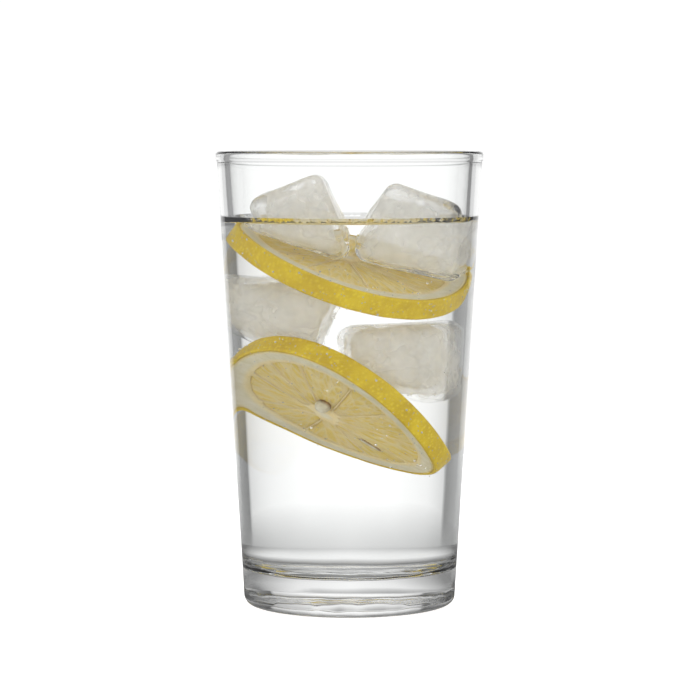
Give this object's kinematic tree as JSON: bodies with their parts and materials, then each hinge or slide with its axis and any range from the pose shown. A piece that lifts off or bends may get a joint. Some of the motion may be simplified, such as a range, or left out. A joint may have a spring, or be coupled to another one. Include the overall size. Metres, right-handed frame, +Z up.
{
  "type": "pint glass",
  "caption": "Tapered straight-sided drinking glass with a rolled rim and a thick clear bottom, filled with water, melting ice cubes and round lemon slices.",
  "frame": {"origin": "centre of the foot, on the plane the glass stands on", "axes": "+Z up along the axis of the glass, -Y towards the viewer (front), +X to the viewer's right"},
  "size_m": [0.0872, 0.0872, 0.148],
  "materials": {
    "clear_glass": "polished, clear, colourless soda-lime glass",
    "water": "clear still water",
    "ice": "wet melting ice, clear skin with a cloudy cracked core",
    "lemon_rind": "waxy, fine oil pores",
    "lemon_pith": "soft matt, wet",
    "lemon_pulp": "wet translucent juice cells",
    "lemon_seed": "smooth, slightly slippery"
  },
  "bodies": {
    "glass_and_water": {"glass": "clear_glass", "water": "water"},
    "ice_upper_left": {"ice_upper_left": "ice"},
    "ice_upper_right": {"ice_upper_right": "ice"},
    "ice_lower_left": {"ice_lower_left": "ice"},
    "ice_lower_right": {"ice_lower_right": "ice"},
    "upper_slice": {"upper_slice_rind": "lemon_rind", "upper_slice_pith": "lemon_pith", "upper_slice_seed": "lemon_seed", "upper_slice_pulp_1": "lemon_pulp", "upper_slice_pulp_2": "lemon_pulp", "upper_slice_pulp_3": "lemon_pulp", "upper_slice_pulp_4": "lemon_pulp", "upper_slice_pulp_5": "lemon_pulp", "upper_slice_pulp_6": "lemon_pulp", "upper_slice_pulp_7": "lemon_pulp", "upper_slice_pulp_8": "lemon_pulp", "upper_slice_pulp_9": "lemon_pulp", "upper_slice_pulp_10": "lemon_pulp"},
    "lower_slice": {"lower_slice_rind": "lemon_rind", "lower_slice_pith": "lemon_pith", "lower_slice_seed_1": "lemon_seed", "lower_slice_seed_2": "lemon_seed", "lower_slice_pulp_1": "lemon_pulp", "lower_slice_pulp_2": "lemon_pulp", "lower_slice_pulp_3": "lemon_pulp", "lower_slice_pulp_4": "lemon_pulp", "lower_slice_pulp_5": "lemon_pulp", "lower_slice_pulp_6": "lemon_pulp", "lower_slice_pulp_7": "lemon_pulp", "lower_slice_pulp_8": "lemon_pulp", "lower_slice_pulp_9": "lemon_pulp", "lower_slice_pulp_10": "lemon_pulp"}
  },
  "joints": [
    {"name": "ice_upper_left_bob", "type": "slide", "parent": "glass_and_water", "child": "ice_upper_left", "axis": [0, 0, 1], "range_m": [-0.0015, 0.0015], "stiffness_N_per_m": 5.9, "springref_m": 0.0153, "deforming": ["water"]},
    {"name": "ice_upper_right_bob", "type": "slide", "parent": "glass_and_water", "child": "ice_upper_right", "axis": [0, 0, 1], "range_m": [-0.0015, 0.0015], "stiffness_N_per_m": 5.5, "springref_m": 0.0275, "deforming": ["water"]},
    {"name": "ice_lower_left_bob", "type": "slide", "parent": "glass_and_water", "child": "ice_lower_left", "axis": [0, 0, 1], "range_m": [-0.0015, 0.0015], "deforming": ["water"]},
    {"name": "ice_lower_right_bob", "type": "slide", "parent": "glass_and_water", "child": "ice_lower_right", "axis": [0, 0, 1], "range_m": [-0.0015, 0.0015], "deforming": ["water"]},
    {"name": "upper_slice_bob", "type": "slide", "parent": "glass_and_water", "child": "upper_slice", "axis": [0, 0, 1], "range_m": [-0.0015, 0.0015], "deforming": ["water"]},
    {"name": "lower_slice_bob", "type": "slide", "parent": "glass_and_water", "child": "lower_slice", "axis": [0, 0, 1], "range_m": [-0.0015, 0.0015], "deforming": ["water"]}
  ]
}
